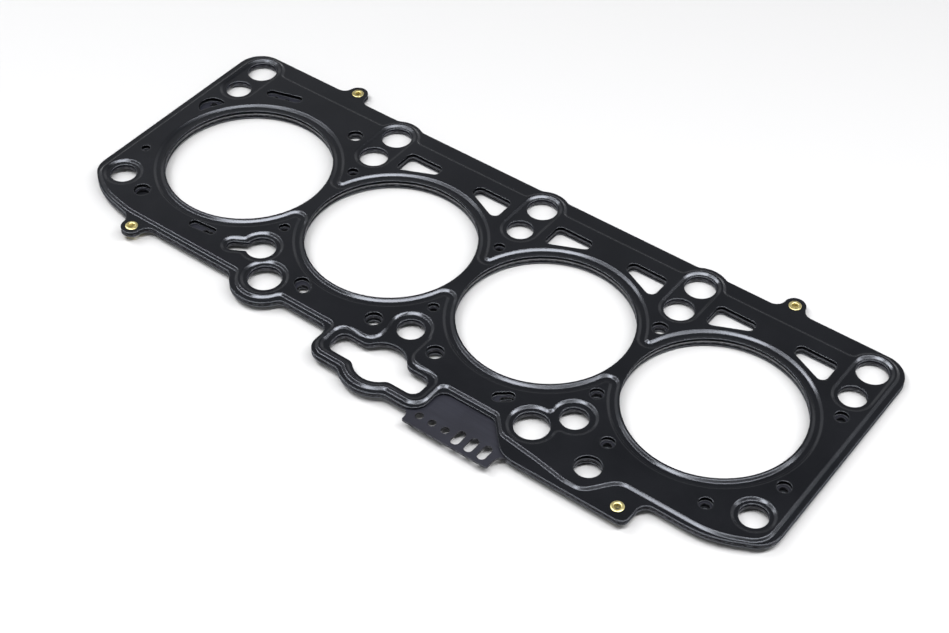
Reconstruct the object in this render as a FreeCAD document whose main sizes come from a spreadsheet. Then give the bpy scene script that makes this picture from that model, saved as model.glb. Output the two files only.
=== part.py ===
import FreeCAD, Part
import Sketcher
import math
import os
from FreeCAD import Placement, Rotation, Vector

# Cylinder head gasket for a four cylinder engine, multi-layer steel, lying flat.
# Millimetres, +Z up. The origin is on the underside, midway between bores 2 and 3.
# X runs along the row of bores, +Y is the back edge, -Y the front edge with the tab.
# Three thin beaded sheets lie round one thick carrier. Each beaded sheet has a flat
# plateau, and lips one bead lower (or higher) round its edge and its openings.

doc = FreeCAD.newDocument("HeadGasket")
sheet = doc.addObject("Spreadsheet::Sheet", "Sizes")

SIZES = [
    # Row of bores
    ("bore_diameter", 81.0),
    ("bore_bridge", 7.0),
    # Distance of the edges from the bores
    ("end_land", 17.7),
    ("front_land", 21.9),
    ("back_land", 29.9),
    ("back_end_land", 31.7),
    # Sheets and beads
    ("spring_gauge", 0.25),
    ("carrier_gauge", 1.0),
    ("bead_rise", 0.95),
    ("bead_slope", 1.4),
    ("opening_lip", 1.3),
    ("bore_rim", 0.9),
    ("bore_bead_floor", 1.9),
    ("bridge_cusp", 1.1),
    ("side_lip", 2.5),
    ("front_lip", 2.0),
    ("back_lip", 7.5),
    ("hole_ridge", 0.8),
    ("passage_ridge", 0.8),
    ("lower_bore_step", 0.4),
    ("carrier_set_back", 0.4),
    # Bolts, oil and coolant
    ("bolt_row", 1.0),
    ("bolt_hole", 12.8),
    ("wide_bolt_hole", 14.2),
    ("bolt_seat", 18.0),
    ("oil_row", 19.0),
    ("oil_hole", 14.8),
    ("drain_hole", 16.0),
    ("drain_lip", 1.7),
    ("drain_inset", 6.6),
    ("drain_bulge", 8.2),
    ("side_port", 12.2),
    ("key_slot", 6.0),
    ("coolant_window", 20.0),
    ("coolant_window_height", 12.6),
    ("coolant_window_tip", 5.9),
    ("coolant_window_corner", 3.0),
    ("crescent_hole", 13.2),
    ("crescent_land", 8.7),
    # Passage in the front edge
    ("passage_offset", 1.7),
    ("passage_length", 49.8),
    ("passage_width", 12.1),
    ("passage_round", 24.0),
    ("passage_corner", 4.5),
    ("passage_front_lip", 6.9),
    # Tab with the thickness code
    ("tab_start", 29.0),
    ("tab_length", 45.0),
    ("tab_proud", 0.8),
    ("tab_pitch", 6.9),
    ("tab_hole", 3.8),
    ("tab_slot", 4.1),
    ("tab_slot_length", 8.4),
    # Stopper rings and eyelets
    ("stopper_gauge", 0.15),
    ("stopper_width", 0.6),
    ("eyelet_bore", 3.0),
    ("eyelet_wall", 0.5),
    ("eyelet_clearance", 0.05),
    ("eyelet_flange", 6.0),
    ("eyelet_flange_gauge", 0.3),
    ("ear_diameter", 10.2),
    ("ear_reach", 4.9),
]
for number, (alias, value) in enumerate(SIZES, start=1):
    sheet.set("A%d" % number, alias)
    sheet.set("B%d" % number, "%g" % value)
    sheet.setAlias("B%d" % number, alias)
doc.recompute()


def size(alias):
    """One driving dimension, read back from the sheet."""
    return float(sheet.get(alias))


BORE_R = size("bore_diameter") / 2
PITCH = size("bore_diameter") + size("bore_bridge")
BORES = [(i - 1.5) * PITCH for i in range(4)]
GAUGE = size("spring_gauge")
RISE = size("bead_rise")
SLOPE = size("bead_slope")

# Heights of the stack, from the table up: each bead stands RISE proud of its sheet
CARRIER_Z = GAUGE + RISE
CARRIER_TOP = CARRIER_Z + size("carrier_gauge")
UPPER_RIM_TOP = CARRIER_TOP + GAUGE
TOP_LIP_Z = UPPER_RIM_TOP + RISE
TOP = TOP_LIP_Z + GAUGE + RISE


def col(k, dx=0.0):
    """X of the column of bolts k, from -2 at the left end to 2, plus dx."""
    return k * PITCH + dx


def front(land):
    """Y of a line that lies land outside the front edges of the bores."""
    return -(BORE_R + land)


def back(land):
    """Y of a line that lies land outside the back edges of the bores."""
    return BORE_R + land


# The bores' bead is a groove round the whole row: its floor lies between two radii, and
# at each bridge it turns in a waist, so that the bridge stays level with the plateau
GROOVE_IN = BORE_R + size("bore_rim") + SLOPE
GROOVE_OUT = GROOVE_IN + size("bore_bead_floor")
ROW_REACH = GROOVE_OUT + SLOPE + size("bridge_cusp")

SIDE = BORES[3] + BORE_R + size("end_land")
FRONT = front(size("front_land"))
BACK = back(size("back_land"))
BACK_END = back(size("back_end_land"))
BOLT_Y = back(size("bolt_row"))
OIL_Y = back(size("oil_row"))
EYELETS = {
    "eyelet_back_left": (BORES[0] + 6.4, BACK + size("ear_reach")),
    "eyelet_back_right": (BORES[3] - 3.7, BACK + size("ear_reach")),
    "eyelet_front_left": (BORES[0] - 14.3, FRONT - 4.3),
    "eyelet_front_right": (BORES[3] - 2.7, FRONT - 8.3),
}
DRAINS = [(col(-1, 14.7), FRONT + size("drain_inset")), (col(1, -12.0), FRONT + size("drain_inset"))]
PASSAGE_X = size("passage_offset")
PASSAGE_BACK = front(20.1)
PASSAGE_FRONT = PASSAGE_BACK - size("passage_width")
PASSAGE_MID = (PASSAGE_BACK + PASSAGE_FRONT) / 2 + 1.1


def polygon(points):
    """A face from corners (x, y, radius), each radius rounding its corner."""
    edges = []
    starts, ends, arcs = [], [], []
    count = len(points)
    for i, (x, y, radius) in enumerate(points):
        here = Vector(x, y, 0)
        before = (Vector(*points[i - 1][:2], 0) - here).normalize()
        after = (Vector(*points[(i + 1) % count][:2], 0) - here).normalize()
        if radius <= 0:
            starts.append(here)
            ends.append(here)
            arcs.append(None)
            continue
        half = before.getAngle(after) / 2
        inward = (before + after).normalize()
        reach = radius / math.tan(half)
        middle = here + inward * (radius / math.sin(half) - radius)
        starts.append(here + before * reach)
        ends.append(here + after * reach)
        arcs.append(Part.Arc(starts[i], middle, ends[i]).toShape())
    for i in range(count):
        if arcs[i]:
            edges.append(arcs[i])
        to = starts[(i + 1) % count]
        if (to - ends[i]).Length > 1e-6:
            edges.append(Part.LineSegment(ends[i], to).toShape())
    return Part.Face(Part.Wire(edges))


def box(x0, x1, y0, y1, radius=0.0):
    """A rectangle from x0 to x1 and y0 to y1 with rounded corners."""
    return polygon([(x0, y0, radius), (x1, y0, radius), (x1, y1, radius), (x0, y1, radius)])


def tower(x, half, y0, y1):
    """A rectangle whose top is rounded nearly to a half circle."""
    crown = half - 0.1
    return polygon([(x - half, y0, 0), (x + half, y0, 0), (x + half, y1, crown), (x - half, y1, crown)])


def disc(x, y, radius):
    return Part.Face(Part.Wire(Part.makeCircle(radius, Vector(x, y, 0))))


def slot(x0, y0, x1, y1, radius):
    """A slot with round ends, from one end's centre to the other's."""
    start, end = Vector(x0, y0, 0), Vector(x1, y1, 0)
    along = (end - start).normalize()
    across = Vector(-along.y, along.x, 0) * radius
    tip = along * radius
    edges = [
        Part.LineSegment(start - across, end - across).toShape(),
        Part.Arc(end - across, end + tip, end + across).toShape(),
        Part.LineSegment(end + across, start + across).toShape(),
        Part.Arc(start + across, start - tip, start - across).toShape(),
    ]
    return Part.Face(Part.Wire(edges))


def joined(faces, radius):
    """The faces as one, with each inner corner rounded to radius."""
    whole = faces[0].multiFuse(faces[1:]).removeSplitter().Faces[0]
    return whole.makeOffset2D(radius).Faces[0].makeOffset2D(-radius).Faces[0]


def row_outline(radius):
    """One outline round all four bores, radius from their centres, with rounded waists."""
    half = PITCH / 2
    rise = math.sqrt(ROW_REACH ** 2 - half ** 2)
    waist = rise - (ROW_REACH - radius)
    dx, dy = half * radius / ROW_REACH, rise * radius / ROW_REACH

    def arc(*points):
        return Part.Arc(*(Vector(x, y, 0) for x, y in points)).toShape()

    left, right = BORES[0], BORES[3]
    edges = [arc((left + dx, dy), (left - radius, 0), (left + dx, -dy))]
    edges.append(arc((right - dx, -dy), (right + radius, 0), (right - dx, dy)))
    for side in (-1, 1):
        for x in BORES[:-1]:
            edges.append(arc((x + dx, side * dy), (x + half, side * waist), (x + PITCH - dx, side * dy)))
        for x in BORES[1:-1]:
            edges.append(arc((x - dx, side * dy), (x, side * radius), (x + dx, side * dy)))
    return Part.Face(Part.Wire(Part.__sortEdges__(edges)))


def at_height(face, z):
    lifted = face.copy()
    lifted.translate(Vector(0, 0, z))
    return lifted


def tapered(low, z_low, high, z_high):
    """A solid between two outlines of the same corners at two heights."""
    wires = [at_height(low, z_low).OuterWire, at_height(high, z_high).OuterWire]
    return Part.makeLoft(wires, True, True)


def prism(face, z, thickness):
    return at_height(face, z).extrude(Vector(0, 0, thickness))


def sheet_outline():
    """Edge of the thin sheets: straight sides, eyelet ears, bulges and the passage."""
    body = polygon([
        (-SIDE, front(5.0), 12), (-SIDE + 12.7, front(16.7), 42), (-SIDE + 37.2, FRONT, 30),
        (SIDE - 23.3, FRONT, 45), (SIDE, FRONT + 11.4, 12), (SIDE, BACK_END, 13),
        (EYELETS["eyelet_back_right"][0], BACK_END, 0), (EYELETS["eyelet_back_right"][0], BACK, 0),
        (EYELETS["eyelet_back_left"][0], BACK, 0), (EYELETS["eyelet_back_left"][0], BACK_END, 0),
        (-SIDE, BACK_END, 13),
    ])
    corner = polygon([
        (col(1, -26.5), front(10), 0), (col(1, -26.5), FRONT, 0), (col(1, -13.0), FRONT - 14.5, 12),
        (BORES[3] + 4.4, FRONT - 14.5, 4), (BORES[3] + 4.4, front(10), 0),
    ])
    lip = size("passage_front_lip")
    half = size("passage_length") / 2 + 6.6
    passage = box(PASSAGE_X - half, PASSAGE_X + half, PASSAGE_FRONT - lip, front(10), 8)
    parts = [body, corner, passage, disc(PASSAGE_X, PASSAGE_MID, size("passage_round") / 2 + lip)]
    parts += [disc(x, y, size("ear_diameter") / 2) for x, y in EYELETS.values()]
    parts += [disc(col(k), OIL_Y, 13.2) for k in (-1, 0, 1)]
    parts.append(disc(*DRAINS[0], size("drain_hole") / 2 + size("drain_bulge")))
    return joined(parts, 5)


def plateau_outline():
    """Crest of the bead that runs round the edge of the thin sheets."""
    side = SIDE - size("side_lip") - SLOPE
    foot = FRONT + size("front_lip") + SLOPE
    top = BACK - size("back_lip") - SLOPE
    shoulder = size("bolt_seat") / 2 - 0.9 + SLOPE + size("hole_ridge")
    crown = OIL_Y + shoulder
    body = polygon([
        (-side, front(5.7), 8), (-side + 10.8, front(14.9), 36), (-side + 31.3, foot, 30),
        (side - 18.3, foot, 40), (side, foot + 8.4, 10),
        (side, OIL_Y - 8, 0), (col(2), OIL_Y - 8, 0), (col(2), top, 0),
        (col(-2), top, 0), (col(-2), OIL_Y - 8, 0), (-side, OIL_Y - 8, 0),
    ])
    corner = polygon([
        (col(1, -26.5), front(10), 0), (col(1, -26.5), foot, 0), (col(1, -19.0), foot - 8.2, 5),
        (col(1), foot - 10.6, 20), (col(1, 16.0), foot - 13.3, 12),
        (col(1, 24.6), foot - 13.3, 7), (col(1, 34.8), foot, 9), (col(1, 46), foot, 0),
        (col(1, 46), front(10), 0),
    ])
    ridge = size("passage_ridge") + SLOPE + size("opening_lip")
    half = size("passage_length") / 2 + 4.4
    passage = box(PASSAGE_X - half, PASSAGE_X + half, PASSAGE_FRONT - ridge, front(10), 6)
    parts = [body, corner, passage, disc(PASSAGE_X, PASSAGE_MID, size("passage_round") / 2 + ridge)]
    crest = size("drain_hole") / 2 + size("drain_lip") + SLOPE + size("hole_ridge")
    parts.append(disc(*DRAINS[0], crest + 0.4))
    parts += [tower(col(k), shoulder, OIL_Y - 10, crown) for k in range(-2, 3)]
    return joined(parts, 4)


def seats():
    """Floors of the sunk seats round the bolts, oil holes, drains and passage."""
    wide = size("bolt_seat") / 2
    narrow = wide - 0.9
    lip = size("opening_lip")
    floors = [slot(col(k), BOLT_Y, col(k), OIL_Y, narrow) for k in range(-2, 3)]
    floors += [disc(col(k), -BOLT_Y, narrow) for k in (-2, 2)]
    drain_floor = size("drain_hole") / 2 + size("drain_lip")
    floors.append(disc(*DRAINS[0], drain_floor))
    floors.append(joined([disc(col(1), -BOLT_Y, wide), disc(*DRAINS[1], drain_floor)], 3))
    floors.append(joined([
        disc(col(-1), -BOLT_Y, wide),
        slot(col(-1), -BOLT_Y, col(-1, -11.5), front(7.7), size("key_slot") / 2 + lip),
    ], 3))
    half = size("passage_length") / 2
    floors.append(joined([
        disc(col(0), -BOLT_Y, wide),
        box(PASSAGE_X - 9.3, PASSAGE_X + 8.3, PASSAGE_MID, -BOLT_Y),
        box(PASSAGE_X - half - 2.4, PASSAGE_X + half + 2.0, PASSAGE_FRONT - lip, PASSAGE_BACK + 2.2, 4.5),
        disc(PASSAGE_X, PASSAGE_MID, size("passage_round") / 2 + lip),
    ], 7))
    return floors


def bead_form():
    """The top sheet's upper face as a solid: plateau, seats and the groove round the bores."""
    low, high = TOP_LIP_Z + GAUGE, TOP
    reach = SIDE + 20
    crest = plateau_outline()
    base = prism(box(-reach, reach, -reach / 2, reach / 2), low - 5, 5)
    form = base.fuse(tapered(crest.makeOffset2D(SLOPE).Faces[0], low, crest, high))
    cuts = [tapered(floor, low, floor.makeOffset2D(SLOPE).Faces[0], high) for floor in seats()]
    cuts.append(tapered(row_outline(GROOVE_OUT), low, row_outline(GROOVE_OUT + SLOPE), high))
    rims = tapered(row_outline(GROOVE_IN), low, row_outline(GROOVE_IN - SLOPE), high)
    return form.cut(cuts).fuse(rims)


def big_openings():
    """Holes that every layer has: bolts, oil, drains, coolant windows and the passage."""
    bolt, wide = size("bolt_hole") / 2, size("wide_bolt_hole") / 2
    holes = [disc(col(k), BOLT_Y, wide if k in (-1, 1) else bolt) for k in range(-2, 3)]
    holes += [disc(col(k), -BOLT_Y, bolt) for k in (-2, 0, 1, 2)]
    holes.append(joined([
        disc(col(-1), -BOLT_Y, wide),
        slot(col(-1), -BOLT_Y, col(-1, -11.5), front(7.7), size("key_slot") / 2),
    ], 1.5))
    holes += [disc(col(k), OIL_Y, size("oil_hole") / 2) for k in range(-2, 3)]
    holes += [disc(x, y, size("drain_hole") / 2) for x, y in DRAINS]
    holes.append(disc(col(1, 20.2), FRONT + 1.4, size("side_port") / 2))
    length, tall = size("coolant_window"), size("coolant_window_height")
    tip, corner = size("coolant_window_tip"), size("coolant_window_corner")
    top = back(13.8)
    for x in BORES[1:]:
        for way in (-1, 1):
            edge = x + way * 30.5
            far = edge - way * length
            holes.append(polygon([
                (edge, top - tall - 2.5, corner), (far, top - tip, corner - 0.1),
                (far, top, corner - 0.1), (edge, top, corner),
            ]))
    half, corner = size("passage_length") / 2, size("passage_corner")
    holes.append(joined([
        box(PASSAGE_X - half, PASSAGE_X + half, PASSAGE_FRONT, PASSAGE_BACK, corner),
        disc(PASSAGE_X, PASSAGE_MID, size("passage_round") / 2),
    ], 5))
    return holes


# Small coolant holes: x, y, and the radius in the two sheets above the carrier, in the
# carrier and in the lower sheet, which meters the flow. Zero is closed.
COOLANT = [
    (col(-1), back(-15.0), 2.7, 2.1, 1.2), (col(0), back(-15.5), 2.7, 2.1, 0.9),
    (col(1), back(-15.0), 3.7, 3.0, 2.7), (col(2, 2.3), back(-13.2), 3.2, 2.0, 0.8),
    (col(-2, -3.8), front(-18.5), 2.1, 1.4, 0.6), (col(-1), front(-15.5), 2.6, 2.0, 0.8),
    (col(0), front(-15.5), 2.7, 2.0, 0.9), (col(1), front(-16.0), 3.2, 2.5, 1.7),
    (col(2, 2.4), front(-19.1), 3.2, 2.0, 0.8), (BORES[0] - 27.5, front(5.2), 4.0, 3.2, 0.0),
    (BORES[0] + 27.5, back(7.0), 3.8, 3.8, 3.8), (PASSAGE_X - 18.5, front(6.4), 4.1, 3.6, 3.0),
    (PASSAGE_X + 16.0, front(6.4), 4.1, 3.6, 3.1), (BORES[3] - 24.7, front(4.5), 3.2, 2.0, 0.8),
    (BORES[3] + 25.3, front(7.7), 3.1, 2.0, 0.8),
    (BORES[0] - 25.6, back(7.8), 0.0, 1.6, 1.6), (BORES[0] - 19.6, back(9.4), 0.0, 1.6, 1.6),
    (BORES[0] - 46.6, back(-15.1), 0.0, 1.7, 1.7),
]
# Slots above the carrier, then those in the carrier and below: both ends' centres, radius
WIDE_SLOTS = [
    (BORES[0] - 27.5, back(7.5), BORES[0] - 14.0, back(11.5), 2.5),
    (BORES[0] + 8.5, front(8.0), BORES[0] + 18.5, front(7.0), 2.3),
    (BORES[1] - 13.3, front(8.1), BORES[1] - 10.3, front(10.1), 3.4),
    (col(1, -32.5), front(11.2), col(1, -29.0), front(8.3), 2.8),
]
NARROW_SLOTS = [
    (BORES[0] + 15.0, front(7.5), BORES[0] + 18.0, front(7.2), 1.7),
    (BORES[1] - 12.0, front(9.1), BORES[1] - 9.3, front(11.1), 2.5),
    (col(1, -30.5), front(9.7), col(1, -28.7), front(8.2), 2.2),
]


def crescent():
    """The half-moon hole beside the first bore, in the sheets above the carrier."""
    moon = disc(BORES[0] - 44.5, back(-18.5), size("crescent_hole") / 2)
    return moon.cut(disc(BORES[0], 0, BORE_R + size("crescent_land"))).Faces[0]


ABOVE, CARRIER, BELOW = range(3)


def pierced(outline, bore_radius, level):
    """The outline with all its holes, as they are above the carrier, in it or below it."""
    holes = big_openings()
    holes += [disc(x, 0, bore_radius) for x in BORES]
    holes += [disc(x, y, radii[level]) for x, y, *radii in COOLANT if radii[level]]
    holes += [slot(*ends) for ends in (WIDE_SLOTS if level == ABOVE else NARROW_SLOTS)]
    holes += [disc(x, y, EYELET_HOLE_R) for x, y in EYELETS.values()]
    if level == ABOVE:
        holes.append(crescent())
    return outline.cut(holes).Faces[0]


BARREL_R = size("eyelet_bore") / 2 + size("eyelet_wall")
EYELET_HOLE_R = BARREL_R + size("eyelet_clearance")
OUTLINE = sheet_outline()
FORM = bead_form()
SKIN = FORM.cut(at_height(FORM, -GAUGE))
CAP = Vector(0, 0, 1)


def beaded_layer(label, z_middle, flipped, bore_radius, level):
    """A pressed sheet: the beaded skin trimmed to the outline and pierced."""
    skin = SKIN.copy()
    if flipped:
        skin = skin.mirror(Vector(0, 0, TOP_LIP_Z + (GAUGE + RISE) / 2), CAP)
    skin.translate(Vector(0, 0, z_middle - TOP_LIP_Z - (GAUGE + RISE) / 2))
    blank = prism(pierced(OUTLINE, bore_radius, level), z_middle - 2, 4)
    layer = doc.addObject("Part::Feature", label)
    layer.Label = label
    layer.Shape = blank.common(skin).Solids[0]
    return layer


def carrier_outline():
    """The thick sheet's edge: set back from the thin sheets, with the tab in front."""
    edge = OUTLINE.makeOffset2D(-size("carrier_set_back")).Faces[0]
    start = size("tab_start")
    passage_front = PASSAGE_MID - size("passage_round") / 2 - size("passage_front_lip")
    tab_front = passage_front - size("tab_proud")
    tab = box(start, start + size("tab_length"), tab_front, front(15), 1)
    return joined([edge, tab], 4)


def tab_marks():
    """Three round holes and three slots that tell the thickness by their pattern."""
    start = size("tab_start") + 5.0
    y = PASSAGE_FRONT - 6.3
    marks = [disc(start + i * size("tab_pitch"), y, size("tab_hole") / 2) for i in range(3)]
    reach = (size("tab_slot_length") - size("tab_slot")) / 2
    for i in range(3, 6):
        x = start + i * size("tab_pitch")
        marks.append(slot(x, y - reach, x, y + reach, size("tab_slot") / 2))
    return marks


def carrier():
    """The flat carrier: its plan, extruded by the carrier gauge."""
    plan = doc.addObject("Part::Feature", "carrier_plan")
    lower = BORE_R + size("lower_bore_step")
    face = pierced(carrier_outline(), lower, CARRIER).cut(tab_marks()).Faces[0]
    plan.Shape = at_height(face, CARRIER_Z)
    plate = doc.addObject("Part::Extrusion", "carrier_layer")
    plate.Label = "carrier_layer"
    plate.Base = plan
    plate.DirMode = "Custom"
    plate.Dir = CAP
    plate.Solid = True
    plate.setExpression("LengthFwd", "Sizes.carrier_gauge")
    return plate


def stopper_ring(number, x):
    """A thin ring round a bore, lying on the upper bead layer's rim."""
    outer = doc.addObject("Part::Cylinder", "ring_outer_%d" % number)
    inner = doc.addObject("Part::Cylinder", "ring_inner_%d" % number)
    bore = "Sizes.bore_diameter / 2 + Sizes.lower_bore_step / 2"
    inner.setExpression("Radius", bore)
    outer.setExpression("Radius", bore + " + Sizes.stopper_width")
    for cylinder in (outer, inner):
        cylinder.setExpression("Height", "Sizes.stopper_gauge")
        cylinder.Placement = Placement(Vector(x, 0, UPPER_RIM_TOP), Rotation())
    ring = doc.addObject("Part::Cut", "stopper_ring_%d" % number)
    ring.Label = "stopper_ring_%d" % number
    ring.Base, ring.Tool = outer, inner
    return ring


def origin_plane(body, role):
    for feature in body.Origin.OriginFeatures:
        if feature.Role == role:
            return feature


def eyelet(label, x, y):
    """A brass tube through the stack with a rolled flange above and below."""
    body = doc.addObject("PartDesign::Body", label)
    body.Label = label
    profile = body.newObject("Sketcher::SketchObject", label + "_profile")
    profile.AttachmentSupport = [(origin_plane(body, "XZ_Plane"), "")]
    profile.MapMode = "FlatFace"
    radii = {
        "bore": "Sizes.eyelet_bore / 2",
        "barrel": "Sizes.eyelet_bore / 2 + Sizes.eyelet_wall",
        "flange": "Sizes.eyelet_flange / 2",
    }
    lip_top = "3 * Sizes.spring_gauge + 2 * Sizes.bead_rise + Sizes.carrier_gauge"
    levels = {
        "foot": "Sizes.bead_rise - Sizes.eyelet_flange_gauge",
        "seat": "Sizes.bead_rise",
        "head": lip_top,
        "crown": lip_top + " + Sizes.eyelet_flange_gauge",
    }
    guess = {"bore": 1, "barrel": 2, "flange": 3, "foot": 1, "seat": 2, "head": 3, "crown": 4}
    corners = [
        ("bore", "foot"), ("flange", "foot"), ("flange", "seat"), ("barrel", "seat"),
        ("barrel", "head"), ("flange", "head"), ("flange", "crown"), ("bore", "crown"),
    ]
    for i, (r, z) in enumerate(corners):
        r_next, z_next = corners[(i + 1) % len(corners)]
        start = Vector(guess[r], guess[z], 0)
        profile.addGeometry(Part.LineSegment(start, Vector(guess[r_next], guess[z_next], 0)), False)
    for i, (r, z) in enumerate(corners):
        profile.addConstraint(Sketcher.Constraint("Coincident", i, 2, (i + 1) % len(corners), 1))
        across = profile.addConstraint(Sketcher.Constraint("DistanceX", -1, 1, i, 1, guess[r]))
        profile.setExpression("Constraints[%d]" % across, radii[r])
        up = profile.addConstraint(Sketcher.Constraint("DistanceY", -1, 1, i, 1, guess[z]))
        profile.setExpression("Constraints[%d]" % up, levels[z])
    turned = body.newObject("PartDesign::Revolution", label + "_turned")
    turned.Profile = profile
    turned.ReferenceAxis = (profile, ["V_Axis"])
    turned.Angle = 360
    body.Tip = turned
    body.Placement = Placement(Vector(x, y, 0), Rotation())
    return body


beaded = GAUGE + RISE
upper_middle = CARRIER_TOP + beaded / 2
pieces = [
    beaded_layer("top_bead_layer", TOP_LIP_Z + beaded / 2, False, BORE_R, ABOVE),
    beaded_layer("upper_bead_layer", upper_middle, True, BORE_R + size("lower_bore_step") / 2, ABOVE),
    beaded_layer("lower_bead_layer", beaded / 2, True, BORE_R + size("lower_bore_step"), BELOW),
    carrier(),
]
pieces += [stopper_ring(number, x) for number, x in enumerate(BORES, start=1)]
pieces += [eyelet(label, x, y) for label, (x, y) in EYELETS.items()]
doc.recompute()

for thing in doc.Objects:
    if "Invalid" in thing.State or "Error" in thing.State:
        raise RuntimeError("%s failed: %s" % (thing.Label, thing.State))
for piece in pieces:
    shape = piece.Shape
    if shape.isNull() or not shape.isValid() or len(shape.Solids) != 1:
        raise RuntimeError("%s has no valid single solid" % piece.Label)
    print("%-20s volume %9.1f mm3  height %.2f" % (piece.Label, shape.Volume, shape.BoundBox.ZLength))

os.makedirs("parts", exist_ok=True)
for piece in pieces:
    piece.Shape.exportStep("parts/%s.step" % piece.Label)
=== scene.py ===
# %% [markdown]
# A multi-layer steel cylinder head gasket, dressed for a product photograph.
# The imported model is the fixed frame: each sheet, ring and eyelet is already at its
# real size and place, in metres. Everything below adds finishes, rolled eyelets, a
# table, light and a camera, and never moves a part of the frame.

# %% Load the frame
import math

import bmesh
import bpy
from mathutils import Matrix, Vector


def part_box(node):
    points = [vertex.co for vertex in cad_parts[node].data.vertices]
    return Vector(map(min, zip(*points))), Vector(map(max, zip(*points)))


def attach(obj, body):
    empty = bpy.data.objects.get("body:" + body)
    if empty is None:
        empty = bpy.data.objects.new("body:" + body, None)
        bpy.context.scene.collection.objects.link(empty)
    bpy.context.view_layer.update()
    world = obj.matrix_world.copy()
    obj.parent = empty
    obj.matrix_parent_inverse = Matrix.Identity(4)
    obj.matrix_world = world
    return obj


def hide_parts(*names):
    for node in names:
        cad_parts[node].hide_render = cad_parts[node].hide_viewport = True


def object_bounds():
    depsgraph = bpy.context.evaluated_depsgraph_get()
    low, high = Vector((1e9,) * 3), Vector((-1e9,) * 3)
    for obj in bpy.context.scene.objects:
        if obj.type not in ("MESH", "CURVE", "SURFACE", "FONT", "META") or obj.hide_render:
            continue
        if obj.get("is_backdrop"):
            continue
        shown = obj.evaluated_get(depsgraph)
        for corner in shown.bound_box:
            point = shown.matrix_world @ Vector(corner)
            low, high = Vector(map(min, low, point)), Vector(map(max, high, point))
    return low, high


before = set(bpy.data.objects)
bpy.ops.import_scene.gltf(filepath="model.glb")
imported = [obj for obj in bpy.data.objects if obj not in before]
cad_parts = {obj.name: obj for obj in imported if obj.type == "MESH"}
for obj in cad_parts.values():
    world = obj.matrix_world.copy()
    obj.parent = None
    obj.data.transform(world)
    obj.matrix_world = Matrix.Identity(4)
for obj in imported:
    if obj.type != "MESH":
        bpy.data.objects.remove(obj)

MM = 0.001
cad_low, cad_high = (tuple(corner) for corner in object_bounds())
print("frame box in mm:", [round(v / MM, 2) for v in (*cad_low, *cad_high)])

# %% [markdown]
# A material is a small graph of shader nodes. It could be drawn by hand in the node
# editor, but in a script four helpers keep each recipe short: one makes an empty
# material, one adds a node with its settings, and two add the nodes that are needed
# most, a noise and a colour ramp. The recipes below then read like layers of paint.
# Nearly all of a noise's grey lies between the two values that are named first.

# %% Helpers for materials
NOISE_LOW = 0.3
NOISE_HIGH = 0.7


def new_material(name):
    material = bpy.data.materials.new(name)
    material.use_nodes = True
    tree = material.node_tree
    tree.nodes.clear()
    output = tree.nodes.new("ShaderNodeOutputMaterial")
    return material, tree, output


def add(tree, kind, inputs=None, **settings):
    """Adds a node. A tuple of (node, socket) links, any other value is set."""
    node = tree.nodes.new(kind)
    for key, value in settings.items():
        setattr(node, key, value)
    for key, value in (inputs or {}).items():
        if isinstance(value, tuple) and isinstance(value[0], bpy.types.Node):
            tree.links.new(value[0].outputs[value[1]], node.inputs[key])
        else:
            node.inputs[key].default_value = value
    return node


def noise(tree, source, scale, detail, roughness=0.5):
    """Soft random grey, scale blobs to the metre, with finer noise in each."""
    return add(tree, "ShaderNodeTexNoise", {
        "Vector": source, "Scale": scale, "Detail": detail, "Roughness": roughness})


def ramp(tree, source, stops):
    """A colour ramp over source, from (position, colour) stops."""
    node = add(tree, "ShaderNodeValToRGB", {"Fac": source})
    elements = node.color_ramp.elements
    while len(elements) < len(stops):
        elements.new(0.5)
    for element, (position, colour) in zip(elements, stops):
        element.position = position
        element.color = (*colour, 1.0)
    return node


print("helpers:", new_material.__name__, add.__name__, noise.__name__, ramp.__name__)

# %% [markdown]
# A sheet has two looks: coated faces, and cut edges where the punch left bare steel.
# Each edge face could be given a material of its own, but the beads make thousands
# of small faces. It is simpler to ask how upright the surface is: a punched wall's
# normal lies level, while faces and pressed slopes still point up or down.

# %% Cut edges told from faces
WALL_NORMAL_Z = 0.55


def wall_mask(tree):
    """One on upright cut edges, zero on the faces of a sheet."""
    geometry = add(tree, "ShaderNodeNewGeometry")
    split = add(tree, "ShaderNodeSeparateXYZ", {"Vector": (geometry, "True Normal")})
    height = add(tree, "ShaderNodeMath", {0: (split, "Z")}, operation="ABSOLUTE")
    return add(tree, "ShaderNodeMath", {0: (height, "Value"), 1: WALL_NORMAL_Z}, operation="LESS_THAN")


print("cut edges: where the normal's height is under", WALL_NORMAL_Z)

# %% [markdown]
# The thin sheets are spring steel with a rubber coating on both faces. The coating
# is near black, satin, and slightly uneven: it has a fine orange-peel grain and
# faint cloudy patches. Both come from noise, which stays sharp at any distance. A
# Bevel node bends the normals at the pressed corners, so they catch thin highlights
# as rounded steel does, while the mesh keeps the frame's exact form. The top sheet
# is glossier than the other two.

# %% Coated spring steel
COATING = (0.0048, 0.0052, 0.0066)
COATING_WORN = (0.0064, 0.0069, 0.0086)
COATING_SHINE = (0.86, 0.90, 1.0)
COATING_GLOSS = 0.9
TOP_ROUGHNESS = 0.22
INNER_ROUGHNESS = 0.36
ROUGHNESS_SWING = 0.03
CLOUD_SCALE = 28.0
PEEL_SCALE = 2600.0
PEEL_DEPTH = 0.02 * MM
PEEL_STRENGTH = 0.12
CUT_SCALE = 900.0
CUT_STEEL_DARK = (0.075, 0.078, 0.088)
CUT_STEEL_BRIGHT = (0.13, 0.135, 0.150)
CUT_STEEL_METAL = 0.85
PRESS_RADIUS = 0.70 * MM
PRESS_SAMPLES = 12


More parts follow.
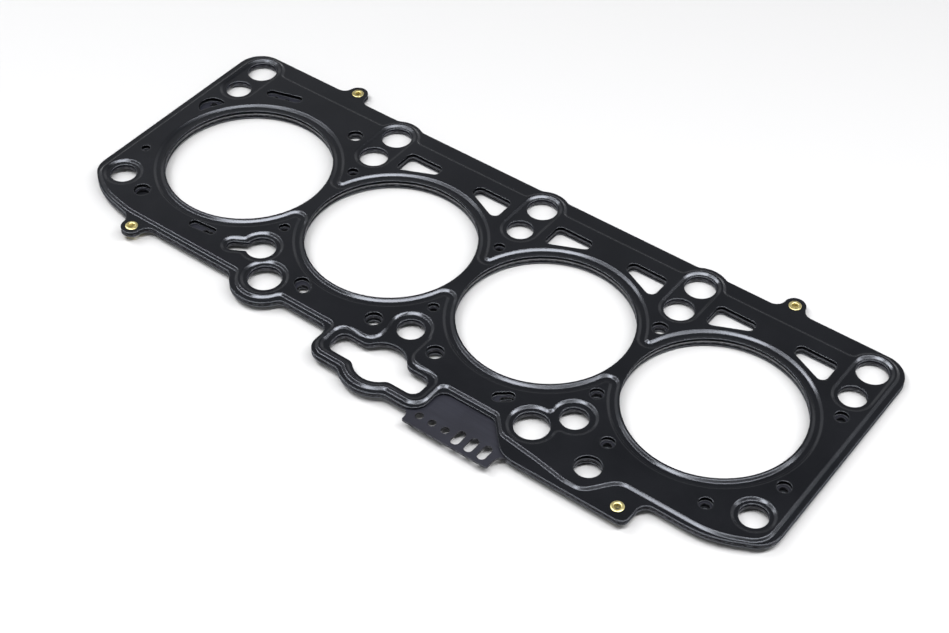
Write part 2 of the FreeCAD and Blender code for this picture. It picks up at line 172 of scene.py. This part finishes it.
def coated_steel(name, roughness):
    material, tree, output = new_material(name)
    place = add(tree, "ShaderNodeTexCoord")
    clouds = noise(tree, (place, "Object"), CLOUD_SCALE, 6.0, 0.62)
    coating = ramp(tree, (clouds, "Fac"), [(0.38, COATING), (0.72, COATING_WORN)])
    peel = noise(tree, (place, "Object"), PEEL_SCALE, 2.0)
    rub = noise(tree, (place, "Object"), CUT_SCALE, 3.0)
    steel = ramp(tree, (rub, "Fac"), [(0.35, CUT_STEEL_DARK), (0.7, CUT_STEEL_BRIGHT)])
    wall = wall_mask(tree)
    colour = add(tree, "ShaderNodeMix", {
        "Factor": (wall, "Value"), "A": (coating, "Color"), "B": (steel, "Color")}, data_type="RGBA")
    sheen = add(tree, "ShaderNodeMapRange", {
        "Value": (clouds, "Fac"), "From Min": NOISE_LOW, "From Max": NOISE_HIGH,
        "To Min": roughness - ROUGHNESS_SWING, "To Max": roughness + ROUGHNESS_SWING})
    metal = add(tree, "ShaderNodeMath", {0: (wall, "Value"), 1: CUT_STEEL_METAL}, operation="MULTIPLY")
    soft = add(tree, "ShaderNodeBevel", {"Radius": PRESS_RADIUS}, samples=PRESS_SAMPLES)
    bump = add(tree, "ShaderNodeBump", {
        "Strength": PEEL_STRENGTH, "Distance": PEEL_DEPTH, "Height": (peel, "Fac"),
        "Normal": (soft, "Normal")})
    shader = add(tree, "ShaderNodeBsdfPrincipled", {
        "Base Color": (colour, "Result"), "Roughness": (sheen, "Result"), "Metallic": (metal, "Value"),
        "Specular IOR Level": COATING_GLOSS, "Specular Tint": (*COATING_SHINE, 1.0),
        "Normal": (bump, "Normal")})
    tree.links.new(shader.outputs["BSDF"], output.inputs["Surface"])
    return material


top_coating = coated_steel("top_coating", TOP_ROUGHNESS)
inner_coating = coated_steel("inner_coating", INNER_ROUGHNESS)
print("coated steel roughness, top and inner:", TOP_ROUGHNESS, INNER_ROUGHNESS)

# %% [markdown]
# The carrier is a thicker rolled sheet with a thinner, duller coat. It shows at the
# tab, where it looks greyer than the sheets above, with faint rolling lines. Lines
# could be modelled one by one, but noise that is squeezed across the sheet and left
# long along it gives them in two nodes.

# %% Carrier steel
CARRIER_DARK = (0.0118, 0.0123, 0.0190)
CARRIER_BRIGHT = (0.0172, 0.0180, 0.0270)
# The dark end of the carrier's cut-edge colour is painted shade: it darkens the punched walls, so the
# tab's holes look black as they do in shade.
CARRIER_EDGE_PAINTED_SHADE = (0.015, 0.015, 0.018)
CARRIER_EDGE_METAL = 0.6
CARRIER_ROUGHNESS = 0.48
CARRIER_GLOSS = 0.4
CARRIER_CLOUD_SCALE = 90.0
CARRIER_CUT_SCALE = 700.0
CARRIER_RADIUS = 0.25 * MM
CARRIER_SAMPLES = 6
ROLLING_SCALE = (60.0, 1400.0, 60.0)
ROLLING_DEPTH = 0.02 * MM
ROLLING_STRENGTH = 0.15


def carrier_steel():
    material, tree, output = new_material("carrier_finish")
    place = add(tree, "ShaderNodeTexCoord")
    stretch = add(tree, "ShaderNodeMapping", {"Vector": (place, "Object"), "Scale": ROLLING_SCALE})
    lines = noise(tree, (stretch, "Vector"), 1.0, 4.0)
    clouds = noise(tree, (place, "Object"), CARRIER_CLOUD_SCALE, 5.0)
    mixed = add(tree, "ShaderNodeMath", {0: (lines, "Fac"), 1: (clouds, "Fac")}, operation="MULTIPLY")
    face = ramp(tree, (mixed, "Value"), [(0.15, CARRIER_DARK), (0.40, CARRIER_BRIGHT)])
    rub = noise(tree, (place, "Object"), CARRIER_CUT_SCALE, 3.0)
    # Cut edges: bare steel at the bright end, pulled near black at the dark end as painted shade for the
    # hole walls.
    steel = ramp(tree, (rub, "Fac"), [(0.45, CARRIER_EDGE_PAINTED_SHADE), (0.75, CUT_STEEL_BRIGHT)])
    wall = wall_mask(tree)
    colour = add(tree, "ShaderNodeMix", {
        "Factor": (wall, "Value"), "A": (face, "Color"), "B": (steel, "Color")}, data_type="RGBA")
    metal = add(tree, "ShaderNodeMath", {0: (wall, "Value"), 1: CARRIER_EDGE_METAL}, operation="MULTIPLY")
    soft = add(tree, "ShaderNodeBevel", {"Radius": CARRIER_RADIUS}, samples=CARRIER_SAMPLES)
    bump = add(tree, "ShaderNodeBump", {
        "Strength": ROLLING_STRENGTH, "Distance": ROLLING_DEPTH, "Height": (lines, "Fac"),
        "Normal": (soft, "Normal")})
    shader = add(tree, "ShaderNodeBsdfPrincipled", {
        "Base Color": (colour, "Result"), "Roughness": CARRIER_ROUGHNESS, "Metallic": (metal, "Value"),
        "Specular IOR Level": CARRIER_GLOSS, "Normal": (bump, "Normal")})
    tree.links.new(shader.outputs["BSDF"], output.inputs["Surface"])
    return material


carrier_finish = carrier_steel()
print("carrier roughness:", CARRIER_ROUGHNESS)

# %% [markdown]
# The eyelets are brass and the stopper rings bright steel strip. A bare metal has its
# colour in its reflection, so Metallic is one. A perfectly even metal looks false, so
# small noise in colour and roughness gives the handled look of a pressed part. The
# rings are hidden between the sheets but finished all the same.

# %% Brass and bright steel
BRASS_DARK = (0.78, 0.66, 0.28)
BRASS_BRIGHT = (0.95, 0.86, 0.46)
BRASS_ROUGHNESS = 0.34
BRASS_TARNISH_SCALE = 900.0
STRIP_DARK = (0.42, 0.42, 0.43)
STRIP_BRIGHT = (0.60, 0.60, 0.61)
STRIP_ROUGHNESS = 0.28
STRIP_TARNISH_SCALE = 600.0
POLISH_SWING = 0.12
TARNISH_DEPTH = 0.01 * MM
TARNISH_STRENGTH = 0.1


def plain_metal(name, dark, bright, roughness, scale):
    material, tree, output = new_material(name)
    place = add(tree, "ShaderNodeTexCoord")
    tarnish = noise(tree, (place, "Object"), scale, 5.0)
    colour = ramp(tree, (tarnish, "Fac"), [(0.35, dark), (0.65, bright)])
    polish = add(tree, "ShaderNodeMapRange", {
        "Value": (tarnish, "Fac"), "From Min": NOISE_LOW, "From Max": NOISE_HIGH,
        "To Min": roughness, "To Max": roughness + POLISH_SWING})
    bump = add(tree, "ShaderNodeBump", {
        "Strength": TARNISH_STRENGTH, "Distance": TARNISH_DEPTH, "Height": (tarnish, "Fac")})
    shader = add(tree, "ShaderNodeBsdfPrincipled", {
        "Base Color": (colour, "Color"), "Roughness": (polish, "Result"), "Metallic": 1.0,
        "Normal": (bump, "Normal")})
    tree.links.new(shader.outputs["BSDF"], output.inputs["Surface"])
    return material


brass = plain_metal(
    "eyelet_brass_finish", BRASS_DARK, BRASS_BRIGHT, BRASS_ROUGHNESS, BRASS_TARNISH_SCALE)
bright_strip = plain_metal(
    "stopper_strip_finish", STRIP_DARK, STRIP_BRIGHT, STRIP_ROUGHNESS, STRIP_TARNISH_SCALE)
print("bare metals:", brass.name, bright_strip.name)

# %% [markdown]
# The sheets and rings could be modelled again with rounder beads, but then they might
# no longer lie on each other. The frame's own meshes already have the true form of
# each one, so they keep it and only get the finishes above.

# %% Dress the frame's own pieces
RING_COUNT = 4
FINISHES = {
    "top_bead_layer": top_coating,
    "upper_bead_layer": inner_coating,
    "lower_bead_layer": inner_coating,
    "carrier_layer": carrier_finish,
}
for number in range(1, RING_COUNT + 1):
    FINISHES["stopper_ring_%d" % number] = bright_strip
for node, finish in FINISHES.items():
    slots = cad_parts[node].material_slots
    for slot in slots:
        slot.material = finish
    print(node, "slots dressed:", len(slots))

# %% [markdown]
# An eyelet is a short tube whose two ends are rolled outwards over the sheets. The
# frame's eyelet has square flanges, so a turned one with rolled rims stands in for
# it. It could be bevelled from a plain tube, but a rolled rim is one low even arch, so
# its section is worked out: an arch over each end and the straight barrel between.

# %% Section of an eyelet
ROLL_STEPS = 9
EYELET_GAUGE = 0.3 * MM
BARREL_WALL = 0.5 * MM
LIP_WIDTH = 0.15 * MM


def rolled_profile(bore, flange, foot, crown):
    """Radius and height round the section: over the crown, down the barrel, under the foot."""
    roll = (flange - bore) / 2
    middle = (flange + bore) / 2
    under_crown = crown - EYELET_GAUGE
    over_foot = foot + EYELET_GAUGE
    turns = [math.pi * i / ROLL_STEPS for i in range(ROLL_STEPS + 1)]
    arch = [(-roll * math.cos(turn), EYELET_GAUGE * math.sin(turn)) for turn in turns]
    points = [(middle + out, under_crown + up) for out, up in arch]
    points += [(flange - LIP_WIDTH, under_crown), (bore + BARREL_WALL, under_crown)]
    points += [(bore + BARREL_WALL, over_foot), (flange - LIP_WIDTH, over_foot)]
    points += [(middle - out, over_foot - up) for out, up in arch]
    return points


print("eyelet gauge in mm:", EYELET_GAUGE / MM)

# %% [markdown]
# The section is turned round the hole's axis like clay on a wheel. A Screw modifier
# does this too, but plain rings of points need no modifier to apply, and they close
# on themselves without a seam. Each new eyelet takes its place and size from the box
# of the one that it stands in for.

# %% Turned eyelets
EYELET_STEPS = 48


def turned_mesh(name, profile, centre):
    """The profile turned round the upright axis at centre."""
    mesh = bmesh.new()
    rings = []
    for step in range(EYELET_STEPS):
        turn = 2 * math.pi * step / EYELET_STEPS
        rings.append([mesh.verts.new((centre[0] + r * math.cos(turn), centre[1] + r * math.sin(turn), z))
                      for r, z in profile])
    for step in range(EYELET_STEPS):
        here, there = rings[step], rings[(step + 1) % EYELET_STEPS]
        for i in range(len(profile)):
            j = (i + 1) % len(profile)
            mesh.faces.new((here[i], there[i], there[j], here[j]))
    bmesh.ops.recalc_face_normals(mesh, faces=mesh.faces)
    data = bpy.data.meshes.new(name)
    mesh.to_mesh(data)
    mesh.free()
    data.shade_smooth()
    return data


def rolled_eyelet(node):
    low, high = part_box(node)
    centre = ((low[0] + high[0]) / 2, (low[1] + high[1]) / 2)
    flange = (high[0] - low[0]) / 2
    data = turned_mesh(node + "_rolled", rolled_profile(flange / 2, flange, low[2], high[2]), centre)
    data.materials.append(brass)
    piece = bpy.data.objects.new(node + "_rolled", data)
    bpy.context.scene.collection.objects.link(piece)
    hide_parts(node)
    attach(piece, "root")
    return piece


for node in sorted(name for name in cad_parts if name.startswith("eyelet")):
    eyelet = rolled_eyelet(node)
    print(eyelet.name, "faces:", len(eyelet.data.polygons))

# %% [markdown]
# The table is a large matt white sheet, a stage piece and not part of the object. The
# photographed gasket is slightly bowed and stands clear of its table at the front,
# where this one is flat. So the table lies a little below the gasket and falls away
# by under one degree towards the front, which sets the soft shadows as they are there.

# %% Table
TABLE_WHITE = (0.61, 0.61, 0.615)
TABLE_ROUGHNESS = 0.6
TABLE_GLOSS = 0.2
TABLE_GAP = 1.4 * MM
TABLE_TILT = math.radians(0.85)
TABLE_HALF = 3.0


def white_table():
    material, tree, output = new_material("white_table_finish")
    shader = add(tree, "ShaderNodeBsdfPrincipled", {
        "Base Color": (*TABLE_WHITE, 1.0), "Roughness": TABLE_ROUGHNESS,
        "Specular IOR Level": TABLE_GLOSS})
    tree.links.new(shader.outputs["BSDF"], output.inputs["Surface"])
    return material


bpy.ops.mesh.primitive_plane_add(size=2 * TABLE_HALF, location=(0, 0, cad_low[2] - TABLE_GAP),
                                 rotation=(TABLE_TILT, 0, 0))
table = bpy.context.object
table.name = "table"
table.data.materials.append(white_table())
table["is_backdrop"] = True
print("table half width in m:", TABLE_HALF)

# %% [markdown]
# Two long soft boxes hang a metre up and face straight down. The larger one hangs
# beyond the right end and runs aslant, from the front left to the back right. The
# smaller one hangs beyond the left end. Both light the table and miss the mirror line
# of the flat faces, so the coating stays near black, while pressed slopes that lean
# the right way mirror a box and shine. Small lamps would give dots in place of lines,
# and hard shadows.

# %% Soft boxes
OVERHEAD_BOX = {
    "place": (0.46, 0.05, 1.0), "turn": math.radians(49.0), "width": 2.1, "depth": 0.32, "power": 23.0,
}
LEFT_BOX = {
    "place": (-0.75, -0.15, 1.0), "turn": math.radians(-8.0), "width": 1.0, "depth": 0.30, "power": 9.5,
}


def soft_box(name, place, turn, width, depth, power):
    """A lamp that faces straight down, its long side turned from +X."""
    light = bpy.data.lights.new(name, "AREA")
    light.shape = "RECTANGLE"
    light.size = width
    light.size_y = depth
    light.energy = power
    lamp = bpy.data.objects.new(name, light)
    lamp.location = place
    lamp.rotation_euler = (0, 0, turn)
    bpy.context.scene.collection.objects.link(lamp)
    return lamp


overhead_box = soft_box("overhead_box", **OVERHEAD_BOX)
left_box = soft_box("left_box", **LEFT_BOX)
print("soft boxes in watts:", overhead_box.data.energy, left_box.data.energy)

# %% [markdown]
# The room is what the flat faces mirror. It is pale up to about 20 degrees above the
# horizon and fades to almost dark at 50 degrees, so from this height the coating
# mirrors its dim part. To the camera alone the room is plain white, for views that
# look past the table. A picture of a studio could light the scene as well, but a
# fade of two greys is enough for satin steel.

# %% Room
ROOM_LEVEL = 0.04
HORIZON_LEVEL = 0.45
FADE_START = 0.35
FADE_END = 0.76
WHITE = (1.0, 1.0, 1.0, 1.0)

world = bpy.data.worlds.new("studio")
bpy.context.scene.world = world
world.use_nodes = True
tree = world.node_tree
tree.nodes.clear()
paths = add(tree, "ShaderNodeLightPath")
direction = add(tree, "ShaderNodeTexCoord")
rise = add(tree, "ShaderNodeSeparateXYZ", {"Vector": (direction, "Generated")})
level = add(tree, "ShaderNodeMapRange", {
    "Value": (rise, "Z"), "From Min": FADE_START, "From Max": FADE_END,
    "To Min": HORIZON_LEVEL, "To Max": ROOM_LEVEL})
room = add(tree, "ShaderNodeBackground", {"Color": WHITE, "Strength": (level, "Result")})
backdrop = add(tree, "ShaderNodeBackground", {"Color": WHITE, "Strength": 1.0})
mix = add(tree, "ShaderNodeMixShader", {
    0: (paths, "Is Camera Ray"), 1: (room, "Background"), 2: (backdrop, "Background")})
sky = add(tree, "ShaderNodeOutputWorld")
tree.links.new(mix.outputs["Shader"], sky.inputs["Surface"])
bpy.context.scene.view_settings.view_transform = "Standard"
print("room level at the horizon and overhead:", HORIZON_LEVEL, ROOM_LEVEL)

# %% [markdown]
# The photograph is taken with a short telephoto from above the front right corner.
# A camera can be placed by eye, but here its place, aim and slight roll were found
# by matching the bores and bolt holes, so that the two pictures can be compared.

# %% Camera
CAMERA_PLACE = Vector((369.94, -501.28, 593.02)) * MM
CAMERA_AIM = Vector((15.44, -14.90, 0.0)) * MM
CAMERA_ROLL = math.radians(0.89)
CAMERA_LENS = 71.33
CAMERA_SENSOR = 36.0
CLIP_NEAR = 0.01
CLIP_FAR = 20.0

optics = bpy.data.cameras.new("camera")
optics.sensor_width = CAMERA_SENSOR
optics.lens = CAMERA_LENS
optics.clip_start = CLIP_NEAR
optics.clip_end = CLIP_FAR
camera = bpy.data.objects.new("camera", optics)
facing = (CAMERA_AIM - CAMERA_PLACE).to_track_quat("-Z", "Y").to_matrix().to_4x4()
camera.matrix_world = Matrix.Translation(CAMERA_PLACE) @ facing @ Matrix.Rotation(CAMERA_ROLL, 4, "Z")
bpy.context.scene.collection.objects.link(camera)
bpy.context.scene.camera = camera
print("camera distance in mm:", round((CAMERA_AIM - CAMERA_PLACE).length / MM, 1))
